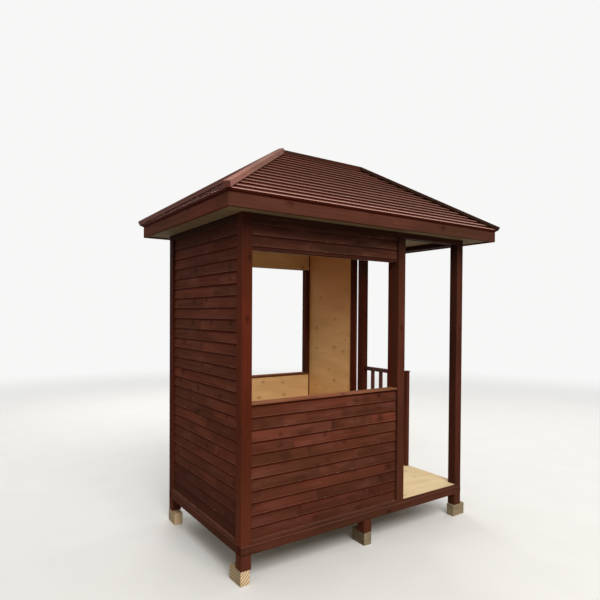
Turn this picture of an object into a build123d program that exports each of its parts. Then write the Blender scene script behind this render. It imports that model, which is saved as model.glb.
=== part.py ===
"""A small timber market hut with a closed room, a serving opening and an open porch under one hipped roof.

Millimetres, +Z up. The front, with the serving opening, looks along -Y and the porch is at the +X end.
The origin is on the ground, under the middle of the roof.
"""

import os

from math import sqrt

from build123d import *

os.makedirs("parts", exist_ok=True)

# Overall sizes, over the outer faces of the corner posts
hut_length = 2000
hut_depth = 1200
room_length = 1280
post_size = 70

# Heights, from the ground up
foot_height = 88
leg_height = 88
beam_height = 60
floor_thickness = 20
lower_wall_height = 814
sill_thickness = 18
serving_sill_thickness = 13
opening_height = 912
header_height = 180
rear_opening_rise = 15
plate_height = 37

# Foot blocks, offcuts laid loosely under the legs
foot_width = 64
foot_length = 135
foot_shift = 5
foot_end_reach = 46
foot_turn = 2
foot_edge_break = 1

# Planed timbers have their long edges broken by this much
edge_break = 2

# Floor frame
beam_width = 50
joist_width = 50
mid_leg_place = 965

# Walls
wall_recess = 12
lining_thickness = 8
partition_recess = 10
window_stud_width = 30
window_stud_depth = 58
sill_front_recess = 4
sill_back_reach = 6
serving_sill_back_reach = 2

# Doorway in the partition, measured from the front of the hut
door_stud_width = 38
doorway_width = 372
door_post_width = 60
door_post_lip = 20
door_post_core_width = 15
door_post_core_depth = 30

# Porch railing
newel_size = 35
entrance_width = 495
newel_cap_thickness = 8
newel_cap_reach = 4
rail_height = 35
rail_width = 35
rail_top_height = 848
baluster_size = 28
baluster_count = 4

# Eaves
overhang_front = 140
overhang_left = 160
overhang_right = 220
ceiling_thickness = 12
fascia_thickness = 20
fascia_height = 89
fascia_drop = 10

# Roof
eave_overlap = 15
roof_thickness = 18
roof_rise = 525
ridge_length = 763
ridge_cap_width = 30
ridge_cap_height = 20
hip_cap_width = 45
hip_cap_height = 35
hip_cap_low_height = 25
hip_cap_let = 3
hip_cap_reach = 3

# Places along X and Y that several pieces share
roof_length = hut_length + overhang_left + overhang_right
roof_depth = hut_depth + 2 * overhang_front
left_x = -roof_length / 2 + overhang_left
right_x = left_x + hut_length
front_y = -hut_depth / 2
rear_y = hut_depth / 2
mid_x = left_x + room_length
inner_length = hut_length - 2 * post_size
inner_depth = hut_depth - 2 * post_size
room_clear_x = left_x + post_size
room_clear_length = room_length - post_size
wall_thickness = post_size - wall_recess - lining_thickness

# Levels
foot_top = foot_height
beam_base = foot_top + leg_height
beam_top = beam_base + beam_height
floor_top = beam_top + floor_thickness
sill_base = floor_top + lower_wall_height
sill_top = sill_base + sill_thickness
header_base = sill_top + opening_height
rear_header_base = header_base + rear_opening_rise
plate_base = header_base + header_height
post_top = plate_base + plate_height
corner_post_height = post_top - beam_top
room_height = plate_base - floor_top
fascia_base = post_top - fascia_drop
fascia_top = fascia_base + fascia_height

# Roof surfaces: the long faces and the end faces have the same rise over different runs
half_length = roof_length / 2 + eave_overlap
half_depth = roof_depth / 2 + eave_overlap
hip_run = half_length - ridge_length / 2
slope_front = roof_rise / half_depth
slope_end = roof_rise / hip_run
eave_base = fascia_top - eave_overlap * slope_front
eave_top = eave_base + roof_thickness
apex = eave_top + roof_rise
end_fascia_height = eave_base + eave_overlap * slope_end - fascia_base
fascia_board_height = min(fascia_height, end_fascia_height)

low_corner = (Align.MIN, Align.MIN, Align.MIN)

# Corner posts stand on the floor frame and reach the underside of the ceiling
with BuildPart() as post_front_left:
    with Locations((left_x, front_y, beam_top)):
        Box(post_size, post_size, corner_post_height, align=low_corner)
    chamfer(post_front_left.edges().filter_by(Axis.Z), edge_break)

with BuildPart() as post_front_right:
    with Locations((right_x - post_size, front_y, beam_top)):
        Box(post_size, post_size, corner_post_height, align=low_corner)
    chamfer(post_front_right.edges().filter_by(Axis.Z), edge_break)

with BuildPart() as post_rear_left:
    with Locations((left_x, rear_y - post_size, beam_top)):
        Box(post_size, post_size, corner_post_height, align=low_corner)
    chamfer(post_rear_left.edges().filter_by(Axis.Z), edge_break)

with BuildPart() as post_rear_right:
    with Locations((right_x - post_size, rear_y - post_size, beam_top)):
        Box(post_size, post_size, corner_post_height, align=low_corner)
    chamfer(post_rear_right.edges().filter_by(Axis.Z), edge_break)

# Posts at the partition stand there too and carry the top plates
with BuildPart() as post_front_mid:
    with Locations((mid_x, front_y, beam_top)):
        Box(post_size, post_size, plate_base - beam_top, align=low_corner)
    chamfer(post_front_mid.edges().filter_by(Axis.Z), edge_break)

with BuildPart() as post_rear_mid:
    with Locations((mid_x, rear_y - post_size, beam_top)):
        Box(post_size, post_size, plate_base - beam_top, align=low_corner)
    chamfer(post_rear_mid.edges().filter_by(Axis.Z), edge_break)

# Short legs under the corners and under the middle of the long beams
with BuildPart() as legs:
    with Locations(
        (left_x, front_y, foot_top),
        (left_x + mid_leg_place, front_y, foot_top),
        (right_x - post_size, front_y, foot_top),
        (left_x, rear_y - post_size, foot_top),
        (left_x + mid_leg_place, rear_y - post_size, foot_top),
        (right_x - post_size, rear_y - post_size, foot_top),
    ):
        Box(post_size, post_size, leg_height, align=low_corner)
    chamfer(legs.edges().filter_by(Axis.Z), edge_break)

# Foot blocks: across the hut under the left and middle legs, along it under the right legs
foot_left = left_x - foot_shift + foot_width / 2
foot_middle = left_x + mid_leg_place + foot_shift + foot_width / 2
foot_right = right_x + foot_end_reach - foot_length / 2
foot_across_y = hut_depth / 2 - foot_length / 2
foot_along_y = hut_depth / 2 - foot_width / 2
foot_base = (Align.CENTER, Align.CENTER, Align.MIN)
with BuildPart() as foot_blocks:
    with Locations(
        Location((foot_left, -foot_across_y, 0), (0, 0, foot_turn)),
        Location((foot_left, foot_across_y, 0), (0, 0, -foot_turn)),
        Location((foot_middle, -foot_across_y, 0), (0, 0, -foot_turn)),
        Location((foot_middle, foot_across_y, 0), (0, 0, foot_turn)),
    ):
        Box(foot_width, foot_length, foot_height, align=foot_base)
    with Locations(
        Location((foot_right, -foot_along_y, 0), (0, 0, foot_turn)),
        Location((foot_right, foot_along_y, 0), (0, 0, -foot_turn)),
    ):
        Box(foot_length, foot_width, foot_height, align=foot_base)
    chamfer(foot_blocks.edges(), foot_edge_break)

# Floor frame: long beams from corner to corner, with the short beams and the joists between them
between_beams = hut_depth - 2 * beam_width
with BuildPart() as floor_beam_front:
    with Locations((left_x, front_y, beam_base)):
        Box(hut_length, beam_width, beam_height, align=low_corner)
    chamfer(floor_beam_front.edges().filter_by(Axis.X), edge_break)

with BuildPart() as floor_beam_rear:
    with Locations((left_x, rear_y - beam_width, beam_base)):
        Box(hut_length, beam_width, beam_height, align=low_corner)
    chamfer(floor_beam_rear.edges().filter_by(Axis.X), edge_break)

with BuildPart() as floor_beam_left:
    with Locations((left_x, front_y + beam_width, beam_base)):
        Box(beam_width, between_beams, beam_height, align=low_corner)
    chamfer(floor_beam_left.edges().filter_by(Axis.Y), edge_break)

with BuildPart() as floor_beam_right:
    with Locations((right_x - beam_width, front_y + beam_width, beam_base)):
        Box(beam_width, between_beams, beam_height, align=low_corner)
    chamfer(floor_beam_right.edges().filter_by(Axis.Y), edge_break)

with BuildPart() as floor_joists:
    with Locations(
        (left_x + hut_length / 4 - joist_width / 2, front_y + beam_width, beam_base),
        (left_x + hut_length / 2 - joist_width / 2, front_y + beam_width, beam_base),
        (left_x + 3 * hut_length / 4 - joist_width / 2, front_y + beam_width, beam_base),
    ):
        Box(joist_width, between_beams, beam_height, align=low_corner)

# The floor reaches the outer faces of the posts and is notched round each of them
with BuildPart() as floor_panel:
    with BuildSketch(Plane.XY.offset(beam_top)):
        with Locations((left_x + hut_length / 2, 0)):
            Rectangle(hut_length, hut_depth)
        with Locations(
            (left_x, front_y),
            (mid_x, front_y),
            (right_x - post_size, front_y),
            (left_x, rear_y - post_size),
            (mid_x, rear_y - post_size),
            (right_x - post_size, rear_y - post_size),
        ):
            Rectangle(post_size, post_size, align=(Align.MIN, Align.MIN), mode=Mode.SUBTRACT)
    extrude(amount=floor_thickness)

# Outer walls stand on the floor between the posts, a little behind the faces of the posts
with BuildPart() as left_wall:
    with Locations((left_x + wall_recess, front_y + post_size, floor_top)):
        Box(wall_thickness, inner_depth, room_height, align=low_corner)

with BuildPart() as front_wall_lower:
    with Locations((room_clear_x, front_y + wall_recess, floor_top)):
        Box(room_clear_length, wall_thickness, lower_wall_height, align=low_corner)

with BuildPart() as rear_wall_lower:
    with Locations((room_clear_x, rear_y - wall_recess - wall_thickness, floor_top)):
        Box(room_clear_length, wall_thickness, lower_wall_height, align=low_corner)

with BuildPart() as front_header:
    with Locations((room_clear_x, front_y + wall_recess, header_base)):
        Box(room_clear_length, wall_thickness, header_height, align=low_corner)

with BuildPart() as rear_header:
    with Locations((room_clear_x, rear_y - wall_recess - wall_thickness, rear_header_base)):
        Box(room_clear_length, wall_thickness, plate_base - rear_header_base, align=low_corner)

# Stud that closes the rear window opening beside the partition
with BuildPart() as window_stud:
    with Locations((mid_x - window_stud_width, rear_y - post_size, sill_top)):
        Box(window_stud_width, window_stud_depth, rear_header_base - sill_top, align=low_corner)
    chamfer(window_stud.edges().filter_by(Axis.Z), edge_break)

# Partition between the room and the porch, behind the doorway
partition_y = front_y + post_size + door_stud_width + doorway_width + door_post_width
partition_length = rear_y - post_size - partition_y
partition_thickness = post_size - wall_recess - lining_thickness - partition_recess
with BuildPart() as partition_wall:
    with Locations((mid_x + partition_recess + lining_thickness, partition_y, floor_top)):
        Box(partition_thickness, partition_length, room_height, align=low_corner)

with BuildPart() as door_posts:
    with Locations((mid_x, front_y + post_size, floor_top)):
        Box(post_size, door_stud_width, room_height, align=low_corner)
    chamfer(door_posts.edges().filter_by(Axis.Z), edge_break)
    # The post at the end of the partition is rebated: the photo shows daylight past its thin lip
    with BuildSketch(Plane.XY.offset(floor_top)):
        with Locations((mid_x, partition_y - door_post_width)):
            Rectangle(door_post_lip, door_post_width, align=(Align.MIN, Align.MIN))
        with Locations((mid_x + door_post_lip, partition_y - door_post_core_width)):
            Rectangle(door_post_core_depth, door_post_core_width, align=(Align.MIN, Align.MIN))
    extrude(amount=room_height)

# Plywood linings on the room side
with BuildPart() as left_lining:
    with Locations((left_x + post_size - lining_thickness, front_y + post_size, floor_top)):
        Box(lining_thickness, inner_depth, room_height, align=low_corner)

with BuildPart() as front_lining:
    with Locations((room_clear_x, front_y + post_size - lining_thickness, floor_top)):
        Box(room_clear_length, lining_thickness, lower_wall_height, align=low_corner)
    with Locations((room_clear_x, front_y + post_size - lining_thickness, header_base)):
        Box(room_clear_length, lining_thickness, header_height, align=low_corner)

with BuildPart() as rear_lining:
    with Locations((room_clear_x, rear_y - post_size, floor_top)):
        Box(room_clear_length, lining_thickness, lower_wall_height, align=low_corner)
    with Locations((room_clear_x, rear_y - post_size, rear_header_base)):
        Box(room_clear_length, lining_thickness, plate_base - rear_header_base, align=low_corner)

with BuildPart() as partition_lining:
    with Locations((mid_x + partition_recess, partition_y, floor_top)):
        Box(lining_thickness, partition_length, room_height, align=low_corner)

# Sill boards of the serving opening, which is the thinner one, and of the rear window
sill_depth = post_size - sill_front_recess + sill_back_reach
serving_sill_depth = post_size - sill_front_recess + serving_sill_back_reach
with BuildPart() as window_sills:
    with Locations((room_clear_x, front_y + sill_front_recess, sill_base)):
        Box(room_clear_length, serving_sill_depth, serving_sill_thickness, align=low_corner)
    with Locations((room_clear_x, rear_y - sill_front_recess - sill_depth, sill_base)):
        Box(room_clear_length, sill_depth, sill_thickness, align=low_corner)
    chamfer(window_sills.edges().filter_by(Axis.X), edge_break)

# Top plates between the corner posts
with BuildPart() as plates_along:
    with Locations(
        (left_x + post_size, front_y, plate_base),
        (left_x + post_size, rear_y - post_size, plate_base),
    ):
        Box(inner_length, post_size, plate_height, align=low_corner)
    chamfer(plates_along.edges().filter_by(Axis.X), edge_break)

with BuildPart() as plates_across:
    with Locations(
        (left_x, front_y + post_size, plate_base),
        (mid_x, front_y + post_size, plate_base),
        (right_x - post_size, front_y + post_size, plate_base),
    ):
        Box(post_size, inner_depth, plate_height, align=low_corner)
    chamfer(plates_across.edges().filter_by(Axis.Y), edge_break)

# Porch railing at the right end: newel, top rail and square balusters
newel_y = front_y + post_size + entrance_width
newel_height = rail_top_height + newel_cap_thickness
with BuildPart() as newel:
    with BuildSketch(Plane.XY.offset(floor_top)):
        with Locations((right_x - newel_size / 2, newel_y + newel_size / 2)):
            Rectangle(newel_size, newel_size)
        chamfer(vertices(), edge_break)
    extrude(amount=rail_top_height)
    with Locations((right_x - newel_size / 2, newel_y + newel_size / 2, floor_top + rail_top_height)):
        Box(
            newel_size + 2 * newel_cap_reach,
            newel_size + 2 * newel_cap_reach,
            newel_cap_thickness,
            align=(Align.CENTER, Align.CENTER, Align.MIN),
        )
    chamfer(newel.faces().sort_by(Axis.Z)[-1].edges(), edge_break)

rail_y = newel_y + newel_size
rail_length = rear_y - post_size - rail_y
baluster_height = rail_top_height - rail_height
baluster_pitch = (rail_length + baluster_size) / (baluster_count + 1)
baluster_x = right_x - rail_width / 2
with BuildPart() as railing:
    with Locations((right_x - rail_width, rail_y, floor_top + baluster_height)):
        Box(rail_width, rail_length, rail_height, align=low_corner)
    chamfer(railing.edges().filter_by(Axis.Y), edge_break)
    with BuildSketch(Plane.XY.offset(floor_top)):
        with Locations((baluster_x, rail_y + rail_length / 2)):
            with GridLocations(1, baluster_pitch, 1, baluster_count):
                Rectangle(baluster_size, baluster_size)
        chamfer(vertices(), edge_break)
    extrude(amount=baluster_height)

# Ceiling and soffit in one level, inside the fascia boards
with BuildPart() as ceiling_panel:
    with Locations((0, 0, post_top)):
        Box(
            roof_length - 2 * fascia_thickness,
            roof_depth - 2 * fascia_thickness,
            ceiling_thickness,
            align=(Align.CENTER, Align.CENTER, Align.MIN),
        )

# Fascia boards, mitred at the corners
fascia_x = roof_length / 2
fascia_y = roof_depth / 2
with BuildPart() as fascia_front:
    with BuildSketch(Plane.XY.offset(fascia_base)):
        with BuildLine():
            Polyline(
                (-fascia_x, -fascia_y),
                (fascia_x, -fascia_y),
                (fascia_x - fascia_thickness, -fascia_y + fascia_thickness),
                (-fascia_x + fascia_thickness, -fascia_y + fascia_thickness),
                close=True,
            )
        make_face()
    extrude(amount=fascia_board_height)
    chamfer(fascia_front.edges().filter_by(Axis.X).group_by(Axis.Z)[0], edge_break)

with BuildPart() as fascia_rear:
    with BuildSketch(Plane.XY.offset(fascia_base)):
        with BuildLine():
            Polyline(
                (-fascia_x, fascia_y),
                (fascia_x, fascia_y),
                (fascia_x - fascia_thickness, fascia_y - fascia_thickness),
                (-fascia_x + fascia_thickness, fascia_y - fascia_thickness),
                close=True,
            )
        make_face()
    extrude(amount=fascia_board_height)
    chamfer(fascia_rear.edges().filter_by(Axis.X).group_by(Axis.Z)[0], edge_break)

with BuildPart() as fascia_left:
    with BuildSketch(Plane.XY.offset(fascia_base)):
        with BuildLine():
            Polyline(
                (-fascia_x, -fascia_y),
                (-fascia_x + fascia_thickness, -fascia_y + fascia_thickness),
                (-fascia_x + fascia_thickness, fascia_y - fascia_thickness),
                (-fascia_x, fascia_y),
                close=True,
            )
        make_face()
    extrude(amount=fascia_board_height)
    chamfer(fascia_left.edges().filter_by(Axis.Y).group_by(Axis.Z)[0], edge_break)

with BuildPart() as fascia_right:
    with BuildSketch(Plane.XY.offset(fascia_base)):
        with BuildLine():
            Polyline(
                (fascia_x, -fascia_y),
                (fascia_x - fascia_thickness, -fascia_y + fascia_thickness),
                (fascia_x - fascia_thickness, fascia_y - fascia_thickness),
                (fascia_x, fascia_y),
                close=True,
            )
        make_face()
    extrude(amount=fascia_board_height)
    chamfer(fascia_right.edges().filter_by(Axis.Y).group_by(Axis.Z)[0], edge_break)

# Roof faces: each is its sloping outline carried straight down by the thickness, to meet on upright planes
ridge_half = ridge_length / 2
front_slope_length = sqrt(half_depth**2 + roof_rise**2)
end_slope_length = sqrt(hip_run**2 + roof_rise**2)
down = (0, 0, -1)
front_plane = Plane(origin=(0, -half_depth, eave_top), x_dir=(1, 0, 0), z_dir=(0, -roof_rise, half_depth))
rear_plane = Plane(origin=(0, half_depth, eave_top), x_dir=(-1, 0, 0), z_dir=(0, roof_rise, half_depth))
left_plane = Plane(origin=(-half_length, 0, eave_top), x_dir=(0, -1, 0), z_dir=(-roof_rise, 0, hip_run))
right_plane = Plane(origin=(half_length, 0, eave_top), x_dir=(0, 1, 0), z_dir=(roof_rise, 0, hip_run))

with BuildSketch(Plane.XY) as long_face:
    with BuildLine():
        Polyline(
            (-half_length, 0),
            (half_length, 0),
            (ridge_half, front_slope_length),
            (-ridge_half, front_slope_length),
            close=True,
        )
    make_face()

with BuildSketch(Plane.XY) as end_face:
    with BuildLine():
        Polyline((-half_depth, 0), (half_depth, 0), (0, end_slope_length), close=True)
    make_face()

with BuildPart() as roof_front:
    with BuildSketch(front_plane):
        add(long_face.sketch)
    extrude(amount=roof_thickness, dir=down)

with BuildPart() as roof_rear:
    with BuildSketch(rear_plane):
        add(long_face.sketch)
    extrude(amount=roof_thickness, dir=down)

with BuildPart() as roof_left:
    with BuildSketch(left_plane):
        add(end_face.sketch)
    extrude(amount=roof_thickness, dir=down)

with BuildPart() as roof_right:
    with BuildSketch(right_plane):
        add(end_face.sketch)
    extrude(amount=roof_thickness, dir=down)

# Ridge cap: a thin strip that sits over the apex between the hip caps
with BuildPart() as ridge_cap:
    with BuildSketch(Plane.YZ.offset(-ridge_half)):
        with BuildLine():
            Polyline(
                (0, apex),
                (-ridge_cap_width / 2, apex - ridge_cap_width / 2 * slope_front),
                (-ridge_cap_width / 2, apex + ridge_cap_height),
                (ridge_cap_width / 2, apex + ridge_cap_height),
                (ridge_cap_width / 2, apex - ridge_cap_width / 2 * slope_front),
                close=True,
            )
        make_face()
    extrude(amount=ridge_length)

# Hip caps: battens that lie along the hips with the edge of the hip let a little into them, cut square at the
# lower end and upright at the ridge end. The two on the right are of a thinner batten, as measured
hip_plan = sqrt(hip_run**2 + half_depth**2)
hip_length = sqrt(hip_plan**2 + roof_rise**2)
cap_run = hip_length + hip_cap_height + hip_cap_reach


def hip_plane(side_x, side_y):
    """The plane across a hip at its lower end, with its own Y axis square to the hip and pointing up."""
    corner = Vector(side_x * half_length, side_y * half_depth, eave_top)
    along = (Vector(side_x * ridge_half, 0, apex) - corner).normalized()
    across = Vector(0, 0, 1).cross(along).normalized()
    return Plane(origin=corner - along * hip_cap_reach, x_dir=across, z_dir=along)


cover = roof_rise + apex


def front_left_cap(height):
    """A cap of that height on the front left hip."""
    with BuildPart() as cap:
        with BuildSketch(hip_plane(-1, -1)):
            with Locations((0, height / 2 - hip_cap_let)):
                Rectangle(hip_cap_width, height)
            chamfer(vertices(), edge_break)
        extrude(amount=cap_run)
        with BuildSketch(front_plane):
            add(long_face.sketch)
        extrude(amount=cover, dir=down, mode=Mode.SUBTRACT)
        with BuildSketch(left_plane):
            add(end_face.sketch)
        extrude(amount=cover, dir=down, mode=Mode.SUBTRACT)
        split(bisect_by=Plane.XZ, keep=Keep.TOP)
        split(bisect_by=Plane.YZ.offset(-ridge_half), keep=Keep.BOTTOM)
    return cap.part


high_cap = front_left_cap(hip_cap_height)
low_cap = front_left_cap(hip_cap_low_height)
with BuildPart() as hip_cap_front_left:
    add(high_cap)

with BuildPart() as hip_cap_front_right:
    mirror(low_cap, about=Plane.YZ)

with BuildPart() as hip_cap_rear_left:
    mirror(hip_cap_front_left.part, about=Plane.XZ)

with BuildPart() as hip_cap_rear_right:
    mirror(hip_cap_front_right.part, about=Plane.XZ)

# Names and files
post_front_left.part.label = "post_front_left"
post_front_mid.part.label = "post_front_mid"
post_front_right.part.label = "post_front_right"
post_rear_left.part.label = "post_rear_left"
post_rear_mid.part.label = "post_rear_mid"
post_rear_right.part.label = "post_rear_right"
legs.part.label = "legs"
foot_blocks.part.label = "foot_blocks"
floor_beam_front.part.label = "floor_beam_front"
floor_beam_rear.part.label = "floor_beam_rear"
floor_beam_left.part.label = "floor_beam_left"
floor_beam_right.part.label = "floor_beam_right"
floor_joists.part.label = "floor_joists"
floor_panel.part.label = "floor_panel"
left_wall.part.label = "left_wall"
front_wall_lower.part.label = "front_wall_lower"
rear_wall_lower.part.label = "rear_wall_lower"
front_header.part.label = "front_header"
rear_header.part.label = "rear_header"
window_stud.part.label = "window_stud"
partition_wall.part.label = "partition_wall"
door_posts.part.label = "door_posts"
left_lining.part.label = "left_lining"
front_lining.part.label = "front_lining"
rear_lining.part.label = "rear_lining"
partition_lining.part.label = "partition_lining"
window_sills.part.label = "window_sills"
plates_along.part.label = "plates_along"
plates_across.part.label = "plates_across"
newel.part.label = "newel"
railing.part.label = "railing"
ceiling_panel.part.label = "ceiling_panel"
fascia_front.part.label = "fascia_front"
fascia_rear.part.label = "fascia_rear"
fascia_left.part.label = "fascia_left"
fascia_right.part.label = "fascia_right"
roof_front.part.label = "roof_front"
roof_rear.part.label = "roof_rear"
roof_left.part.label = "roof_left"
roof_right.part.label = "roof_right"
ridge_cap.part.label = "ridge_cap"
hip_cap_front_left.part.label = "hip_cap_front_left"
hip_cap_front_right.part.label = "hip_cap_front_right"
hip_cap_rear_left.part.label = "hip_cap_rear_left"
hip_cap_rear_right.part.label = "hip_cap_rear_right"

export_step(post_front_left.part, "parts/post_front_left.step")
export_step(post_front_mid.part, "parts/post_front_mid.step")
export_step(post_front_right.part, "parts/post_front_right.step")
export_step(post_rear_left.part, "parts/post_rear_left.step")
export_step(post_rear_mid.part, "parts/post_rear_mid.step")
export_step(post_rear_right.part, "parts/post_rear_right.step")
export_step(legs.part, "parts/legs.step")
export_step(foot_blocks.part, "parts/foot_blocks.step")
export_step(floor_beam_front.part, "parts/floor_beam_front.step")
export_step(floor_beam_rear.part, "parts/floor_beam_rear.step")
export_step(floor_beam_left.part, "parts/floor_beam_left.step")
export_step(floor_beam_right.part, "parts/floor_beam_right.step")
export_step(floor_joists.part, "parts/floor_joists.step")
export_step(floor_panel.part, "parts/floor_panel.step")
export_step(left_wall.part, "parts/left_wall.step")
export_step(front_wall_lower.part, "parts/front_wall_lower.step")
export_step(rear_wall_lower.part, "parts/rear_wall_lower.step")
export_step(front_header.part, "parts/front_header.step")
export_step(rear_header.part, "parts/rear_header.step")
export_step(window_stud.part, "parts/window_stud.step")
export_step(partition_wall.part, "parts/partition_wall.step")
export_step(door_posts.part, "parts/door_posts.step")
export_step(left_lining.part, "parts/left_lining.step")
export_step(front_lining.part, "parts/front_lining.step")
export_step(rear_lining.part, "parts/rear_lining.step")
export_step(partition_lining.part, "parts/partition_lining.step")
export_step(window_sills.part, "parts/window_sills.step")
export_step(plates_along.part, "parts/plates_along.step")
export_step(plates_across.part, "parts/plates_across.step")
export_step(newel.part, "parts/newel.step")
export_step(railing.part, "parts/railing.step")
export_step(ceiling_panel.part, "parts/ceiling_panel.step")
export_step(fascia_front.part, "parts/fascia_front.step")
export_step(fascia_rear.part, "parts/fascia_rear.step")
export_step(fascia_left.part, "parts/fascia_left.step")
export_step(fascia_right.part, "parts/fascia_right.step")
export_step(roof_front.part, "parts/roof_front.step")
export_step(roof_rear.part, "parts/roof_rear.step")
export_step(roof_left.part, "parts/roof_left.step")
export_step(roof_right.part, "parts/roof_right.step")
export_step(ridge_cap.part, "parts/ridge_cap.step")
export_step(hip_cap_front_left.part, "parts/hip_cap_front_left.step")
export_step(hip_cap_front_right.part, "parts/hip_cap_front_right.step")
export_step(hip_cap_rear_left.part, "parts/hip_cap_rear_left.step")
export_step(hip_cap_rear_right.part, "parts/hip_cap_rear_right.step")
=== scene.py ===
"""Looks of the timber market hut: lapped boards, stained and bare wood, nails, light and camera.

Metres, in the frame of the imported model: +Z up, the front looks along -Y, the porch is at the +X end.
"""
import math
import random
from collections import namedtuple

import bmesh
import bpy
from mathutils import Matrix, Vector, noise


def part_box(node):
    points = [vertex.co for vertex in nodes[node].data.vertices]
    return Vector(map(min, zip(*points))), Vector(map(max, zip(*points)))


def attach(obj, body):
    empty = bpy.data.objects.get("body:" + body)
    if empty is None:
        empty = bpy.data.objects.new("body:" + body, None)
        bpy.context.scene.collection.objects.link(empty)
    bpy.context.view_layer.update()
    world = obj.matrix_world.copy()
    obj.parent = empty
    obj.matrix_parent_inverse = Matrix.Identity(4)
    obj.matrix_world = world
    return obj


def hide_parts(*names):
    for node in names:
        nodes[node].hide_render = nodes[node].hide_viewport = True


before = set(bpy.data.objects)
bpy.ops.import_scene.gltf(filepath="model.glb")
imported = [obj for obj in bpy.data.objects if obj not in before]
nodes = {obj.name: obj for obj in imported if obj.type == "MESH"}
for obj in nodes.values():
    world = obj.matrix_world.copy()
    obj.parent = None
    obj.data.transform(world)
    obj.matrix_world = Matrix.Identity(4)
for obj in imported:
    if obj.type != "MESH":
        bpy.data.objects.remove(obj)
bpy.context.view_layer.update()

X = Vector((1, 0, 0))
Y = Vector((0, 1, 0))
Z = Vector((0, 0, 1))

# Lapped boards: the height of a course that shows, on the walls and above the openings, the thickness at the
# lower edge and at the tongue, the part under the course above, and the rounding of the lower edge
WALL_EXPOSURE = 0.0737
HEAD_EXPOSURE = 0.067
BOARD_BUTT = 0.012
BOARD_TONGUE = 0.003
BOARD_OVERLAP = 0.008
LAP_CLEARANCE = 0.0004
BUTT_ROUND = 0.0018

# Walls: the gap beside the posts, the least height of a last course, the lengths of the boards, and the
# height and thickness of the plain strip that shows under the lapped boards above the openings
BOARD_GAP = 0.004
LEAST_COURSE = 0.004
WALL_LENGTHS = (0.3, 0.75)
HEAD_STRIP_TOP = 2.022
HEAD_STRIP_THICKNESS = BOARD_BUTT * 0.45

# Roof: its thickness, measured upright, the courses of each face and how much of the last one the ridge cuts
# off, the thickness at the lower edge, and the lengths of the boards. They end short of the hip lines, and a
# plain strip between two distances from each hip line, a little lower than the boards, fills the room under
# the hip caps. It ends short of the ridge, or at a share of the slope where the face has no ridge. HAIR is a
# small gap that keeps edges apart, and POINT_HALF the least half width of the sheathing at its top.
ROOF_SLAB = 0.018
ROOF_COURSES = 16
ROOF_CUT_COURSE = 0.45
ROOF_BUTT = 0.0125
ROOF_LENGTHS = (0.55, 1.5)
HIP_INSET = 0.013
HIP_STRIP = (0.0015, 0.0125)
HIP_STRIP_DROP = 0.0008
HIP_STRIP_SHARE = 0.97
RIDGE_ROOM = 0.004
HAIR = 0.001
POINT_HALF = 0.0008

# A board is built from sections this far apart. It wanders up and down from its line by up to WANDER, with
# about BENDS bends in a metre, and half as far out and in, where only what lies beyond FACE_OUT moves. Boards
# meet with a small gap, the first one of a course has a least length, and their tones differ in a range.
STATION = 0.09
WANDER = 0.0009
BENDS = 2.1
FACE_OUT = 0.004
JOINT_GAP = 0.0003
LEAST_LENGTH = 0.06
BOARD_TONES = (-0.22, 0.3)

# Nails: their heads, as the radius and the rings from the wood to the dome, each a share of the radius and a
# height, then their height above a lower edge, their distance from the ends of a course, how far they stray
# along and up, and the spacing of the studs and rafters that hold them
NAIL_RADIUS = 0.0026
TRIM_NAIL_RADIUS = 0.003
NAIL_PROUD = 0.0007
NAIL_RINGS = ((1.0, -0.0012), (1.0, NAIL_PROUD * 0.35), (0.6, NAIL_PROUD))
NAIL_SIDES = 8
NAIL_RISE = 0.02
NAIL_INSET = 0.032
NAIL_HIP_INSET = 0.09
NAIL_STRAY = (0.008, 0.004)
STUD_PITCH = 0.38
RAFTER_PITCH = 0.3
RAFTERS_PER_SIDE = 4

# The floor panel is stained outside the walls of the room
ROOM_END = 0.25
WALL_LINE = 0.587
LEFT_WALL_LINE = -1.017

# Heights between which the looks change, the lower one first: boards darker low on a wall, the painted shade
# in the laps fading under the header, painted shade under the eaves, the painted highlight on the roof's worn
# edges, strongest on the eave course and fading higher up, and painted shade towards the top of the linings
DARKER_LOW_ON_WALLS = (0.28, 0.72)
FAINT_LAPS = (2.09, 2.13)
PAINTED_SHADE_HIGH_ON_WALLS = (2.0, 2.14)
EAVE_COURSE = (2.352, 2.372)
ROOF_WEAR_AND_SHEEN_HEIGHTS = (2.36, 2.66)
LINING_SHADE_HEIGHTS = (1.15, 2.0)


def srgb(red, green, blue):
    """A colour written as 0 to 255 screen values, as the linear values that shaders use."""
    channels = [value / 255 for value in (red, green, blue)]
    return tuple(v / 12.92 if v <= 0.04045 else ((v + 0.055) / 1.055) ** 2.4 for v in channels) + (1.0,)


# Stains, each as its light and its dark tone, and the coats and wear on them. Some hold painted light: the
# header's and the front right hip cap's stains are darkened with painted shade, the left roof face's is paled
# with painted sheen and the front left hip cap's is pale with painted sheen, the corner post's side and the
# floor's ledge are lightened with painted light, and there are colours of painted shade under the eaves, of
# stain with painted shade in the laps, of painted bounce light, and of wear with painted highlights
POST_STAIN = (srgb(98, 43, 29), srgb(66, 25, 15))
CORNER_POST_STAIN = (srgb(101, 43, 29), srgb(71, 28, 16))
PAINTED_LIGHT_CORNER_SIDE = srgb(130, 66, 46)
BROWN_POST_STAIN = (srgb(94, 50, 37), srgb(62, 30, 21))
LEG_STAIN = (srgb(110, 60, 44), srgb(74, 36, 25))
BEAM_STAIN = (srgb(97, 55, 41), srgb(63, 32, 22))
LEDGE_PAINTED_SKY_LIGHT = (srgb(124, 72, 56), srgb(92, 50, 38))
BOARD_STAIN = (srgb(125, 65, 49), srgb(76, 36, 25))
CALM_BOARD_STAIN = (srgb(118, 61, 44), srgb(74, 34, 23))
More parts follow.
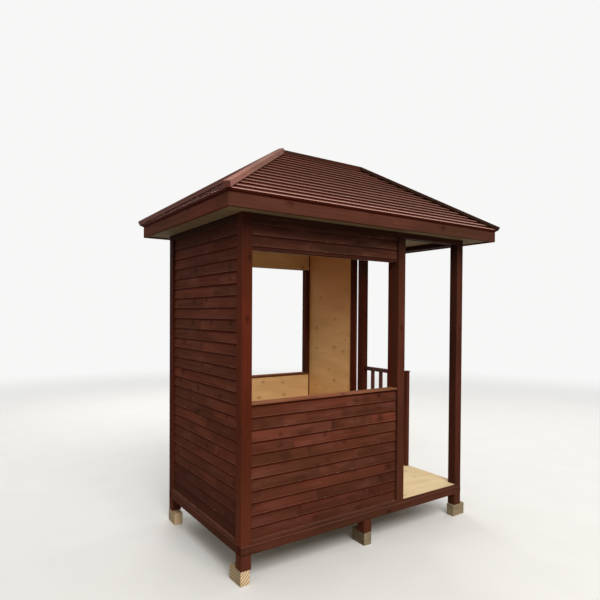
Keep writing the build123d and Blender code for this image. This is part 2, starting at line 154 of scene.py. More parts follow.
HEADER_STAIN_PAINTED_SHADE = (srgb(90, 50, 39), srgb(54, 28, 20))
FASCIA_STAIN = (srgb(94, 54, 42), srgb(69, 37, 28))
RED_FASCIA_STAIN = (srgb(110, 58, 43), srgb(82, 40, 29))
ROOF_STAIN = (srgb(84, 41, 32), srgb(52, 23, 16))
ROOF_STAIN_PAINTED_SHEEN = (srgb(118, 70, 60), srgb(82, 42, 34))
HIP_STAIN = (srgb(80, 44, 35), srgb(54, 27, 20))
GREYED_HIP_STAIN = (srgb(114, 77, 73), srgb(80, 50, 46))
HIP_STAIN_PALE_WITH_SHEEN = (srgb(170, 118, 106), srgb(120, 78, 70))
HIP_STAIN_PAINTED_SHADE = (srgb(62, 38, 29), srgb(42, 24, 17))
SILL_STAIN = (srgb(152, 98, 70), srgb(106, 60, 43))
STAIN_KNOT = srgb(38, 14, 8)
POOLED_STAIN_AND_SHADE = srgb(66, 18, 8)
LAP_STAIN_AND_SHADE = srgb(74, 24, 12)
HEADER_LAP_SHADE_AND_STAIN = srgb(56, 24, 17)
STAIN_PATCH = srgb(56, 32, 23)
PAINTED_EAVES_SHADE = srgb(42, 26, 23)
PAINTED_BOUNCE_LIGHT = srgb(124, 70, 50)
HIGH_HIP = srgb(104, 74, 66)
PALE_WEAR_AND_HIGHLIGHT = srgb(124, 78, 66)
RAW_EDGE = srgb(188, 148, 118)
ROOF_EDGE_WEAR_AND_SHEEN = srgb(222, 174, 158)

# Bare woods, each as its light and its dark tone, and what marks them, with a colour of painted shade towards
# the top of the linings
LINING_WOOD = (srgb(233, 196, 140), srgb(206, 164, 112))
PAINTED_LINING_SHADE = srgb(207, 144, 91)
FLOOR_WOOD = (srgb(224, 200, 158), srgb(207, 177, 131))
CEILING_WOOD = (srgb(138, 116, 84), srgb(112, 92, 64))
OFFCUT_WOOD = (srgb(238, 212, 172), srgb(176, 126, 82))
OFFCUT_AGED = srgb(118, 108, 84)
BARE_KNOT = srgb(112, 66, 34)
PLY_DARK = srgb(150, 104, 62)
NAIL_STEEL = srgb(110, 88, 76)

# Relief and shine of stained wood
GRAIN_DEPTH = 0.0006
STAIN_ROUGHNESS = 0.6
STAIN_SPECULAR = 0.015

# A level strip of another colour on a timber, between two heights and with soft ends: painted shadow under
# the roof boards, painted shade under the eaves, an edge rubbed pale that also carries a painted highlight,
# painted bounce light at a foot, or a cap darker higher up
Band = namedtuple("Band", "low high soft colour strength")

# A height above all of the hut, and one below it
SKY = 3.0
DEEP = -1.0


class Nodes:
    """A node tree. Its methods add a node and give back the output socket. The sockets of a Mix node are
    found by number, because those of its kinds of data have the same names."""

    def __init__(self, tree):
        self.tree = tree

    def feed(self, value, socket):
        if isinstance(value, bpy.types.NodeSocket):
            self.tree.links.new(value, socket)
        else:
            socket.default_value = value

    def node(self, kind, inputs, **settings):
        made = self.tree.nodes.new(kind)
        for key, value in settings.items():
            setattr(made, key, value)
        for key, value in inputs.items():
            self.feed(value, made.inputs[key])
        return made

    def math(self, operation, *values):
        return self.node("ShaderNodeMath", dict(enumerate(values)), operation=operation).outputs[0]

    def vector(self, operation, *values):
        made = self.node("ShaderNodeVectorMath", dict(enumerate(values)), operation=operation)
        return made.outputs["Value" if operation in ("LENGTH", "DOT_PRODUCT") else "Vector"]

    def scale(self, place, factor):
        made = self.node("ShaderNodeVectorMath", {0: place, "Scale": factor}, operation="SCALE")
        return made.outputs["Vector"]

    def stretch(self, place, factors, offset=(0, 0, 0)):
        return self.vector("MULTIPLY_ADD", place, factors, offset)

    def noise(self, place, detail=2.0, roughness=0.5):
        inputs = {"Vector": place, "Scale": 1.0, "Detail": detail, "Roughness": roughness}
        return self.node("ShaderNodeTexNoise", inputs).outputs[0]

    def step(self, value, low, high, start=0.0, end=1.0):
        """A smooth step from start, where value is low, to end, where it is high."""
        inputs = {"Value": value, "From Min": low, "From Max": high, "To Min": start, "To Max": end}
        return self.node("ShaderNodeMapRange", inputs, interpolation_type="SMOOTHSTEP").outputs[0]

    def between(self, value, low, high, soft):
        """1 where value lies between low and high, with soft ends."""
        return self.math("MINIMUM", self.step(value, low - soft, low + soft),
                         self.step(value, high - soft, high + soft, 1, 0))

    def mix(self, factor, first, second):
        return self.node("ShaderNodeMix", {0: factor, 6: first, 7: second}, data_type="RGBA").outputs[2]

    def choose(self, is_second, first, second):
        """One of two places."""
        return self.node("ShaderNodeMix", {0: is_second, 4: first, 5: second}, data_type="VECTOR").outputs[1]

    def split(self, place):
        return self.node("ShaderNodeSeparateXYZ", {0: place}).outputs

    def join(self, x, y, z):
        return self.node("ShaderNodeCombineXYZ", {0: x, 1: y, 2: z}).outputs[0]

    def backdrop_ray(self):
        """1 for rays that show the backdrop: from the camera, a reflection or something clear."""
        path = self.node("ShaderNodeLightPath", {}).outputs
        return self.math("MAXIMUM", path["Is Camera Ray"],
                         self.math("MAXIMUM", path["Is Glossy Ray"], path["Is Transmission Ray"]))


class Surface(Nodes):
    """One procedural material."""

    def __init__(self, name):
        self.material = bpy.data.materials.new(name)
        self.material.use_nodes = True
        super().__init__(self.material.node_tree)
        self.shader = self.tree.nodes["Principled BSDF"]

    def position(self):
        return self.node("ShaderNodeTexCoord", {}).outputs["Object"]

    def height_above_ground(self):
        return self.split(self.position())[2]

    def facing(self, direction):
        """How squarely the surface looks in a direction, from -1 to 1."""
        normal = self.node("ShaderNodeNewGeometry", {}).outputs["True Normal"]
        return self.vector("DOT_PRODUCT", normal, tuple(direction))

    def on_faces(self, direction, strength):
        """The strength on faces that look in a direction, and 0 elsewhere."""
        return self.step(self.facing(direction), 0.5, 0.8, 0.0, strength)

    def attribute(self, name):
        return self.node("ShaderNodeAttribute", {}, attribute_name=name).outputs["Vector"]

    def finish(self, colour, height, roughness, depth=GRAIN_DEPTH, specular=0.25):
        bump = self.node("ShaderNodeBump", {"Height": height, "Distance": depth, "Strength": 0.8})
        self.feed(colour, self.shader.inputs["Base Color"])
        self.feed(roughness, self.shader.inputs["Roughness"])
        self.feed(bump.outputs[0], self.shader.inputs["Normal"])
        self.shader.inputs["Specular IOR Level"].default_value = specular
        return self.material


def timber_place(s, grain, origin, into=None):
    """A place in a timber: X along its grain, Y across it and Z into it, from the origin."""
    grain = grain.normalized()
    across = (into or (X if abs(grain.x) < 0.5 else Y)).cross(grain).normalized()
    moved = s.vector("SUBTRACT", s.position(), tuple(origin))
    axes = (grain, across, grain.cross(across))
    return s.join(*(s.vector("DOT_PRODUCT", moved, tuple(axis)) for axis in axes))


class Grain:
    """Growth rings round a pith line, fibres, streaks, blotches and knots, each from 0 to 1. ring is the
    width of a ring, pith where the pith runs, knot_pitch the spacing of knots along and across the grain,
    knot_share how many of those places have one, knot_radius its least radius and knot_spread what a wide one
    has more, and wander how far the rings stray."""

    # How often each figure repeats in a metre, along the grain and across it
    FIBRES = (14, 900, 900)
    STREAKS = (2.2, 70, 70)
    BLOTCHES = (2.4, 9, 9)
    PATCHES = (1.1, 4, 4)
    PATCH_OFFSET = (7.3, 2.1, 0.4)
    CONTRAST = (0.3, 0.7)
    PATCH_CONTRAST = (0.35, 0.65)

    # Blender's wave texture has one ring in this many metres at scale 1. Along the grain it is drawn out.
    WAVE_RING = 0.314
    RING_STRETCH = (0.09, 1, 1)

    # Distances along the grain count for less, so knots are longer than wide. Their dark halo is wider than
    # they are, and the rings bend round them.
    KNOT_ALONG = 0.7
    HALO_REACH = 3.6
    RING_BEND = -0.55

    def __init__(self, s, place, ring=0.0055, pith=(0.011, -0.034), knot_pitch=(0.34, 0.12),
                 knot_share=0.4, knot_radius=0.005, knot_spread=0.006, wander=8.0):
        self.s = s
        parts = s.split(place)
        around = s.math("ADD", parts[1], parts[2])
        cell = s.join(s.math("DIVIDE", parts[0], knot_pitch[0]), s.math("DIVIDE", around, knot_pitch[1]), 0.0)
        cells = s.node("ShaderNodeTexVoronoi", {"Vector": cell, "Scale": 1.0, "Randomness": 0.85},
                       voronoi_dimensions="2D")
        offset = s.vector("SUBTRACT", cell, cells.outputs["Position"])
        away = s.vector("MULTIPLY", offset, (knot_pitch[0] * self.KNOT_ALONG, knot_pitch[1], 0.0))
        distance = s.vector("LENGTH", away)
        pick = s.node("ShaderNodeSeparateColor", {0: cells.outputs["Color"]}).outputs
        chosen = s.math("LESS_THAN", pick[0], knot_share)
        radius = s.math("MULTIPLY_ADD", pick[1], knot_spread, knot_radius)
        inner = s.math("MULTIPLY", radius, 0.75)
        outer = s.math("MULTIPLY", radius, self.HALO_REACH)
        self.knot = s.math("MULTIPLY", chosen, s.step(distance, inner, radius, 1, 0))
        self.halo = s.math("MULTIPLY", chosen, s.step(distance, inner, outer, 1, 0))

        bent = s.vector("ADD", place, s.scale(away, s.math("MULTIPLY", self.halo, self.RING_BEND)))
        rings = s.node("ShaderNodeTexWave",
                       {"Vector": s.stretch(bent, self.RING_STRETCH, (0, *pith)),
                        "Scale": self.WAVE_RING / ring, "Distortion": wander, "Detail": 2.0,
                        "Detail Scale": 0.22, "Detail Roughness": 0.55},
                       wave_type="RINGS", rings_direction="X", wave_profile="SAW")
        self.late = s.math("POWER", rings.outputs["Fac"], 2.5)
        self.fibre = s.noise(s.stretch(place, self.FIBRES))
        self.streak = s.step(s.noise(s.stretch(place, self.STREAKS), 3.0, 0.6), *self.CONTRAST)
        self.blotch = s.step(s.noise(s.stretch(place, self.BLOTCHES)), *self.CONTRAST)
        self.patch = s.step(s.noise(s.stretch(place, self.PATCHES, self.PATCH_OFFSET), 1.0),
                            *self.PATCH_CONTRAST)

    def darkness(self, late, streak, blotch, extra=0.0):
        """How dark the wood is here, from its rings, streaks and blotches."""
        total = self.s.math("MULTIPLY_ADD", self.late, late, extra)
        total = self.s.math("MULTIPLY_ADD", self.streak, streak, total)
        return self.s.math("MULTIPLY_ADD", self.blotch, blotch, total)

    def height(self):
        """Relief of the surface: raised late wood, fine fibres and sunk knots."""
        total = self.s.math("MULTIPLY_ADD", self.fibre, 0.35, self.s.math("MULTIPLY", self.late, 0.35))
        return self.s.math("MULTIPLY_ADD", self.knot, -0.5, total)

    def roughness(self, middle):
        return self.s.math("MULTIPLY_ADD", self.streak, 0.12, middle - 0.06)


def stain_colour(s, grain, stain, extra=0.0, hue=None):
    """Semi-transparent stain: grain and knots show through, and it is redder or browner by patches."""
    colour = s.mix(grain.darkness(late=0.2, streak=0.34, blotch=0.4, extra=extra), *stain)
    browner = s.math("MULTIPLY", grain.patch if hue is None else hue, 0.6)
    red, green, blue, _ = stain[1]
    brown = (red * 0.95, green * 1.38, blue * 1.15, 1.0)
    colour = s.mix(browner, colour, brown)
    colour = s.mix(s.math("MULTIPLY", grain.halo, 0.34), colour, STAIN_KNOT)
    return s.mix(s.math("MULTIPLY", grain.knot, 0.42), colour, STAIN_KNOT)


def stained_timber(name, stain, grain_axis, origin, seed=0.0, rough=STAIN_ROUGHNESS, specular=STAIN_SPECULAR,
                   bands=(), painted_left_shading=None, rear_inner=None, depth=GRAIN_DEPTH):
    """A planed, stained timber whose grain runs along grain_axis, with darker end grain. painted_left_shading
    is the colour and strength of painted shade or painted light on the face that looks left, and rear_inner
    the colour and strength of a darker tint on the faces at the rear that look to the front."""
    s = Surface(name)
    start = Vector(origin) - grain_axis * seed
    grain = Grain(s, timber_place(s, grain_axis, start))
    colour = stain_colour(s, grain, stain)
    for band in bands:
        patchy = s.math("MULTIPLY_ADD", grain.streak, 0.4 * band.strength, 0.8 * band.strength)
        strip = s.between(s.height_above_ground(), band.low, band.high, band.soft)
        colour = s.mix(s.math("MULTIPLY", strip, patchy), colour, band.colour)
    if painted_left_shading:
        face_tint, strength = painted_left_shading
        colour = s.mix(s.on_faces(-X, strength), colour, face_tint)
    if rear_inner:
        face_tint, strength = rear_inner
        at_rear = s.math("GREATER_THAN", s.split(s.position())[1], 0.0)
        colour = s.mix(s.math("MULTIPLY", at_rear, s.on_faces(-Y, strength)), colour, face_tint)
    along_grain = s.math("ABSOLUTE", s.facing(grain_axis.normalized()))
    colour = s.mix(s.step(along_grain, 0.75, 0.85, 0.0, 0.6), colour, POOLED_STAIN_AND_SHADE)
    return s.finish(colour, grain.height(), grain.roughness(rough), depth=depth, specular=specular)


def stained_boards(name, stain, edge_wear_and_sheen=RAW_EDGE, edge_band=(0.03, 0.1), edge_strengths=(0.08, 0.6),
                   rubbing=0.42, soaking=0.42, lap_darkening=(0.8, 0.87), lap=LAP_STAIN_AND_SHADE, low_darkening=0.3, eaves=0.1,
                   roof_wear_and_sheen=None, depth=GRAIN_DEPTH):
    """Stained boards built below, which carry their own grain, tone and height above the lower edge, as a
    share of the course. rubbing, soaking, low_darkening and eaves are how strongly they are rubbed pale,
    stained dark in patches, darkened low on a wall and given painted shade high on it, under the eaves. Stain
    of the colour lap pools under the course above, with painted shade there, and lap_darkening is where that
    begins and ends. The lower edge is worn to edge_wear_and_sheen, less and less over edge_band, by the least
    and the most of edge_strengths; on a roof that is also a painted highlight. Only a roof has a
    roof_wear_and_sheen: the height below which its edges are worn and lit most, and the one above which they
    are worn and lit least."""
    s = Surface(name)
    place = s.attribute("grain")
    grain = Grain(s, place, knot_pitch=(0.27, 0.1), knot_share=0.5, knot_radius=0.005, knot_spread=0.007)
    tone, hue, edge = s.split(s.attribute("finish"))
    level = s.height_above_ground()
    colour = stain_colour(s, grain, stain, tone, s.math("MULTIPLY", s.math("ADD", hue, grain.patch), 0.75))
    rubbed = s.noise(s.stretch(place, (3.2, 12, 12), (3.1, 8.2, 0)), 3.0, 0.6)
    colour = s.mix(s.step(rubbed, 0.46, 0.82, 0.0, rubbing), colour, PALE_WEAR_AND_HIGHLIGHT)
    soaked = s.noise(s.stretch(place, (5.5, 7, 7), (9.4, 1.7, 0)), 1.0, 0.5)
    colour = s.mix(s.step(soaked, 0.56, 0.7, 0.0, soaking), colour, STAIN_PATCH)
    # Pooled stain under each lap, with painted shade in the lap; on walls also darker boards low down, the lap shade     fading under the header, and painted shade under the eaves
    lap_darkened = s.step(edge, *lap_darkening, 0.0, 0.85)
    if roof_wear_and_sheen:
        colour = s.mix(lap_darkened, colour, lap)
    else:
        colour = s.mix(s.step(level, *DARKER_LOW_ON_WALLS, low_darkening, 0.0), colour, STAIN_PATCH)
        colour = s.mix(s.math("MULTIPLY", lap_darkened, s.step(level, *FAINT_LAPS, 1.0, 0.3)), colour, lap)
        colour = s.mix(s.step(level, *PAINTED_SHADE_HIGH_ON_WALLS, 0.0, eaves), colour, PAINTED_EAVES_SHADE)

    # The underside of the lower edge is dark with stain and painted shade, and above it the arris is worn,
    # more where
    #     chipped, and on a roof lit with a painted highlight
    butt = s.step(edge, 0.004, 0.022, 1, 0)
    colour = s.mix(s.math("MULTIPLY", butt, 0.65), colour, lap)
    chipped = s.step(s.noise(s.stretch(place, (22, 60, 60)), 3.0, 0.7), 0.6, 0.72)
    worn_and_lit = s.math("MULTIPLY", s.step(edge, *edge_band, 1, 0), s.step(chipped, 0, 1, *edge_strengths))
    worn_and_lit = s.math("MULTIPLY", worn_and_lit, s.math("SUBTRACT", 1.0, butt))
    # On a roof the worn edge also carries a painted highlight, strongest on the eave course and fading higher
    # up
    if roof_wear_and_sheen:
        worn_and_lit = s.math("MULTIPLY", worn_and_lit, s.step(level, *roof_wear_and_sheen, 1.0, 0.5))
        worn_and_lit = s.math("MULTIPLY", worn_and_lit, s.step(level, *EAVE_COURSE, 1.6, 1.0))
    colour = s.mix(worn_and_lit, colour, edge_wear_and_sheen)
    return s.finish(colour, grain.height(), grain.roughness(STAIN_ROUGHNESS), depth=depth,
                    specular=STAIN_SPECULAR)


def railing_material():
    """Stained timber with its grain along Y in the rail, and upright in the balusters under it."""
    rail_underside = 1.0692
    s = Surface("stain_railing")
    is_rail = s.math("GREATER_THAN", s.height_above_ground(), rail_underside)
    origin = middle("railing") + Vector((0.019, 0.0, 0.03))
    grain = Grain(s, s.choose(is_rail, timber_place(s, Z, origin), timber_place(s, Y, origin)))
    return s.finish(stain_colour(s, grain, POST_STAIN), grain.height(), grain.roughness(0.5))


def veneer_colour(s, grain, wood):
    """Bare veneer with soft figure and brown knots."""
    knots = 0.6
    colour = s.mix(grain.darkness(late=0.13, streak=0.04, blotch=0.6), *wood)
    colour = s.mix(s.math("MULTIPLY", grain.halo, knots * 0.28), colour, BARE_KNOT)
    return s.mix(s.math("MULTIPLY", grain.knot, knots), colour, BARE_KNOT)


def ply_edge(s, depth, thickness):
    """1 in the dark cross plies on the edge of a panel, by the depth into it."""
    light_and_dark_pairs = 2.5
    plies = s.math("FRACT", s.math("DIVIDE", depth, thickness / light_and_dark_pairs))
    return s.step(plies, 0.45, 0.55)


def stained_edge(s, origin, depth, stain):
    """The outer edge of the floor: stained as the beams are, with painted sky light on its top, with stain
    pooled low on it.
    """
    grain = Grain(s, timber_place(s, X, origin))
    edge = s.mix(s.step(s.facing(Z), 0.4, 0.6), stain_colour(s, grain, stain),
                 stain_colour(s, grain, LEDGE_PAINTED_SKY_LIGHT))
    return s.mix(s.step(depth, 0.0025, 0.005, 0.75, 0), edge, POOLED_STAIN_AND_SHADE)


def outside_walls(s):
    """1 where the floor reaches past the boarded walls of the room."""
    x, y, _ = s.split(s.position())[:3]
    beside = s.math("MULTIPLY", s.math("LESS_THAN", x, ROOM_END),
                    s.math("GREATER_THAN", s.math("ABSOLUTE", y), WALL_LINE))
    return s.math("MAXIMUM", beside, s.math("LESS_THAN", x, LEFT_WALL_LINE))


def plywood(name, wood, grain_axis, origin, through, thickness, edge_stain=None, top_shade=0.0, knot_share=0.34):
    """A plywood panel: peeled veneer with wide wandering figure on its faces, and plies or stain on its
    edges. top_shade is how much painted shade darkens it towards the top of a wall."""
    s = Surface(name)
    grain = Grain(s, timber_place(s, grain_axis, origin, into=through), ring=0.03, pith=(0.05, -0.11),
                  knot_pitch=(0.2, 0.14), knot_share=knot_share, knot_radius=0.003, knot_spread=0.007,
                  wander=10.0)
    is_edge = s.step(s.math("ABSOLUTE", s.facing(through)), 0.4, 0.6, 1, 0)
    depth = s.vector("DOT_PRODUCT", s.vector("SUBTRACT", s.position(), tuple(origin)), tuple(through))
    if edge_stain:
        edge = stained_edge(s, origin, depth, edge_stain)
        is_edge = s.math("MAXIMUM", is_edge, outside_walls(s))
    else:
        edge = s.mix(ply_edge(s, depth, thickness), wood[0], PLY_DARK)
    veneer = veneer_colour(s, grain, wood)
    if top_shade:
        veneer = s.mix(s.step(s.height_above_ground(), *LINING_SHADE_HEIGHTS, 0.0, top_shade), veneer, PAINTED_LINING_SHADE)
    colour = s.mix(is_edge, veneer, edge)
    return s.finish(colour, grain.height(), grain.roughness(0.65), depth=0.0001, specular=0.1)


def foot_block_material():
    """Sawn pine offcuts with wide rings. They lie across the hut at its left end and in its middle, and along
    it at its right end. The left ones are greyed least, and the middle ones have painted shade on their left
    side."""
    end_blocks = 0.8
    s = Surface("pine_foot_blocks")
    x, y, z = s.split(s.position())[:3]
    lying_across = s.join(y, z, s.math("SUBTRACT", x, s.math("ROUND", x)))
    lying_along = s.join(x, z, s.math("ADD", y, 0.6))
    place = s.choose(s.math("GREATER_THAN", x, end_blocks), lying_across, lying_along)
    grain = Grain(s, place, ring=0.017, pith=(-0.16, 0.12), wander=2.0)
    colour = s.mix(s.step(grain.late, 0.05, 0.7), *OFFCUT_WOOD)
    greyed_patches = s.step(s.noise(s.stretch(s.position(), (5, 5, 11)), 3.0), 0.4, 0.75, 0.0, 0.35)
    greyed_sides = s.step(s.math("ABSOLUTE", s.facing(Y)), 0.6, 0.8, 0.5, 0.0)
    greyed_to_right = s.step(x, -end_blocks, 0.0, 0.0, 0.72)
    greyed = s.math("ADD", greyed_patches, s.math("MAXIMUM", greyed_sides, greyed_to_right))
    colour = s.mix(greyed, colour, OFFCUT_AGED)
    middle_painted_shade = s.math("MULTIPLY", s.between(x, -0.4, 0.4, 0.1), s.on_faces(-X, 0.45))
    colour = s.mix(middle_painted_shade, colour, STAIN_KNOT)
    return s.finish(colour, grain.height(), grain.roughness(0.75), depth=0.001, specular=0.1)


def nail_metal(name):
    """Nail heads with a thin, patchy coat of stain."""
    s = Surface(name)
    patchy = s.step(s.noise(s.stretch(s.position(), (160, 160, 160))), 0.32, 0.52)
    colour = s.mix(patchy, NAIL_STEEL, POST_STAIN[0])
    s.shader.inputs["Metallic"].default_value = 0.35
    return s.finish(colour, patchy, s.step(patchy, 0, 1, 0.35, 0.6), depth=0.0001, specular=0.5)


def paint(node, material):
    """Gives a CAD node one material."""
    slots = nodes[node].data.materials
    slots.clear()
    slots.append(material)


def middle(node):
    low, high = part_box(node)
    return (low + high) / 2


def new_object(name, bm, material):
    """An object with the mesh that bm holds."""
    mesh = bpy.data.meshes.new(name)
    bm.to_mesh(mesh)
    bm.free()
    mesh.materials.append(material)
    made = bpy.data.objects.new(name, mesh)
    bpy.context.scene.collection.objects.link(made)
    return made


def add_piece(name, bm, material, replaces=()):
    """Turns the mesh into a piece that rides on the hut, and stands for CAD nodes if they are named."""
    bmesh.ops.recalc_face_normals(bm, faces=bm.faces)
    piece = new_object(name, bm, material)
    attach(piece, "root")
    if replaces:
        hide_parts(*replaces)
    return piece


def lap_profile(height, exposure, butt, first):
    """Section of a lapped board as (up, out) points: a thick rounded lower edge, a face that tapers to a
    tongue, and a rebate behind the lower edge that covers the tongue of the board below."""
    full = exposure + BOARD_OVERLAP
    taper = (butt - BOARD_TONGUE) / full
    rebate = 0.0 if first else BOARD_TONGUE + taper * BOARD_OVERLAP + LAP_CLEARANCE
    top = min(height, full)
    points = [(0, rebate), (0, butt - BUTT_ROUND), (BUTT_ROUND * 0.3, butt - BUTT_ROUND * 0.3),
              (BUTT_ROUND, butt - taper * BUTT_ROUND), (top, butt - taper * top), (top, 0)]
    if first:
        return points
    return points + [(BOARD_OVERLAP + LAP_CLEARANCE, 0), (BOARD_OVERLAP + LAP_CLEARANCE, rebate)]


class Boarding:
    """Courses of lapped boards on one flat face, joined into one mesh. Places on the face are s along it, u
    up it and o out of it. variety is how much the boards differ in tone."""

    # Each course, and each direction that it wanders in, reads another part of the noise
    COURSE_SHIFT = 5.7
    OUTWARD_SHIFT = Vector((31, 17, 5))

    def __init__(self, origin, along, up, out, exposure, seed, variety=1.0):
        self.bm = bmesh.new()
        self.grain = self.bm.verts.layers.float_vector.new("grain")
        self.finish = self.bm.verts.layers.float_vector.new("finish")
        self.origin, self.along, self.up, self.out = Vector(origin), along, up, out
        self.exposure = exposure
        self.variety = variety
        self.random = random.Random(seed)
        self.nails = []

    def place(self, s, u, o):
        return self.origin + self.along * s + self.up * u + self.out * o

    def wobble(self, course, s):
        """How far a board leaves its line here, upwards and outwards."""
        spot = Vector((s * BENDS, course * self.COURSE_SHIFT, self.origin.x + self.origin.y))
        return noise.noise(spot) * WANDER, noise.noise(spot + self.OUTWARD_SHIFT) * WANDER * 0.5

    def board(self, course, profile, base, ends, span):
        """One length of board between two stations. ends gives the left and right end at a height."""
        low, high = span
        count = max(1, round((high - low) / STATION))
        tone = self.random.uniform(*BOARD_TONES) * self.variety
        hue = self.random.random() ** 2 * self.variety
        shift = Vector((self.random.uniform(0, 9), self.random.uniform(0, 3), 0))
        rings = []
        for k in range(count + 1):
            ring = []
            for u, o in profile:
                left, right = ends(base + u)
                s = min(max(low + (high - low) * k / count, left), right)
                rise, proud = self.wobble(course, s)
                if course == 0:
                    rise = 0.0
                if o <= FACE_OUT:
                    proud = 0.0
                vert = self.bm.verts.new(self.place(s, base + u + rise, o + proud))
                vert[self.grain] = Vector((s, u, o)) + shift
                vert[self.finish] = (tone, hue, u / self.exposure)
                ring.append(vert)
            rings.append(ring)
        skin(self.bm, rings)

    def course(self, number, profile, base, ends, lengths):
        """A course of boards end to end, in random lengths."""
        top = max(u for u, o in profile)
        (low_left, low_right), (high_left, high_right) = ends(base), ends(base + top)
        left, right = min(low_left, high_left), max(low_right, high_right)
        first_cut = max(low_left, high_left) + LEAST_LENGTH
        last_cut = min(low_right, high_right) - lengths[0] * 0.5
        cuts = []
        place = left + self.random.uniform(*lengths)
        while place < last_cut:
            if place > first_cut:
                cuts.append(place)
            place += self.random.uniform(*lengths)
        starts = [left] + [cut + JOINT_GAP for cut in cuts]
        stops = cuts + [right]
        for span in zip(starts, stops):
            self.board(number, profile, base, ends, span)

    def nail(self, number, profile, base, lines):
        """Nails through the lower part of a course, at the lines where something is behind it."""
        (low_u, low_o), (high_u, high_o) = profile[3], profile[4]
        for line in lines:
            s = line + self.random.uniform(-NAIL_STRAY[0], NAIL_STRAY[0])
            u = NAIL_RISE + self.random.uniform(-NAIL_STRAY[1], NAIL_STRAY[1])
            rise, proud = self.wobble(number, s)
            face = low_o + (high_o - low_o) * (u - low_u) / (high_u - low_u)
            self.nails.append(self.place(s, base + u + rise, face + proud))

    def slab(self, corners, low, high):
        """A closed plain slab: corners are its (s, u) points, low and high its depths."""
        back = [self.bm.verts.new(self.place(s, u, low)) for s, u in corners]
        front = [self.bm.verts.new(self.place(s, u, high)) for s, u in corners]
        for vert in back + front:
            vert[self.grain] = vert.co
        skin(self.bm, (back, front))


def skin(bm, rings):
    """Joins rings of vertices into one closed skin, with a face over each end."""
    for first, second in zip(rings, rings[1:]):
        for i in range(len(first)):
            j = (i + 1) % len(first)
            bm.faces.new((first[i], first[j], second[j], second[i]))
    bm.faces.new(rings[0])
    bm.faces.new(rings[-1])


def wall_face(node, out):
    """The outer face of a wall slab: its lower left corner seen from outside, its level axis, and the slab's
    length, height and depth."""
    low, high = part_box(node)
    along = Z.cross(out)
    corners = [Vector((x, y, low.z)) for x in (low.x, high.x) for y in (low.y, high.y)]
    start = min(corners, key=lambda c: (round(c.dot(along), 5), -c.dot(out)))
    size = high - low
    return start, along, abs(size.dot(along)), size.z, abs(size.dot(out))


def drive_nails(name, spots, along, up, out, radius=NAIL_RADIUS):
    """Low domed nail heads at the spots, their edges set into the wood."""
    bm = bmesh.new()
    angles = [math.tau * k / NAIL_SIDES for k in range(NAIL_SIDES)]
    for spot in spots:
        rings = []
        for share, height in NAIL_RINGS:
            rings.append([bm.verts.new(spot + out * height + along * (math.cos(angle) * radius * share)
                                       + up * (math.sin(angle) * radius * share)) for angle in angles])
        skin(bm, rings)
    return add_piece(name, bm, steel)


def stud_lines(length):
    """Stations of the nails on a wall: near both ends, and at the studs between them."""
    inner = length - 2 * NAIL_INSET
    bays = max(1, round(inner / STUD_PITCH))
    return [NAIL_INSET + inner * k / bays for k in range(bays + 1)]


def board_wall(name, node, out, material, seed, exposure=WALL_EXPOSURE, strip=0.0, variety=0.9):
    """Lapped boards with a core behind them, in place of one wall slab. strip is the height of a plain
    recessed board under the lowest lapped one."""
    start, along, length, height, depth = wall_face(node, out)
    walls = Boarding(start - out * BOARD_BUTT, along, Z, out, exposure, seed, variety)
    walls.slab([(0, 0), (length, 0), (length, height), (0, height)], BOARD_BUTT - depth, -LAP_CLEARANCE)
    if strip:
        walls.slab([(0, 0), (length, 0), (length, strip), (0, strip)], 0, HEAD_STRIP_THICKNESS)

    def ends(_):
        return BOARD_GAP, length - BOARD_GAP

    base = strip
    number = 0
    while base < height - LEAST_COURSE:
        profile = lap_profile(height - base, exposure, BOARD_BUTT, number == 0)
        walls.course(number, profile, base, ends, WALL_LENGTHS)
        if height - base > 2 * NAIL_RISE:
            walls.nail(number, profile, base, stud_lines(length))
        base += exposure
        number += 1
    drive_nails("nails_" + name.removeprefix("boards_"), walls.nails, along, Z, out)
    return add_piece(name, walls.bm, material, (node,))


